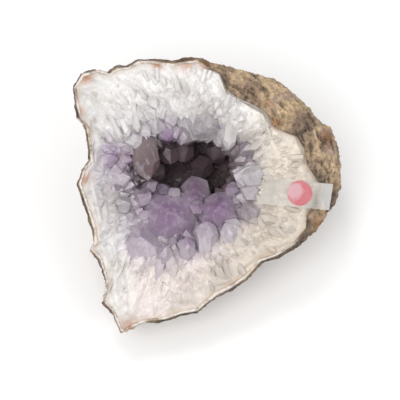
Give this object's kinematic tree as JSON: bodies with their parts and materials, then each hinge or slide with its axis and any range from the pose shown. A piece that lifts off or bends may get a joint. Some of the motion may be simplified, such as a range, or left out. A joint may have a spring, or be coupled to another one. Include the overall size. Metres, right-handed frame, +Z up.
{
  "type": "geode half",
  "caption": "Half of an amethyst geode: brown rind, thick white quartz wall, violet crystals round a deep hollow, and a taped price sticker.",
  "frame": {"origin": "centre of the bounding box's base, on the surface that the stone rests on", "axes": "+X to the right seen from the open face, +Y away from the viewer up the leaning face, +Z up"},
  "size_m": [0.1976, 0.1954, 0.1242],
  "materials": {
    "rind": "rough weathered rock, brown and tan",
    "quartz": "milky crystalline quartz, satin with glints",
    "amethyst": "clear to cloudy violet crystal, glossy faces",
    "tape": "hazy clear adhesive tape",
    "sticker": "matte pink-red paper"
  },
  "bodies": {
    "root": {"rind": "rind", "quartz_wall": "quartz", "amethyst_crust": "amethyst", "tape": "tape", "price_sticker": "sticker"}
  },
  "joints": []
}
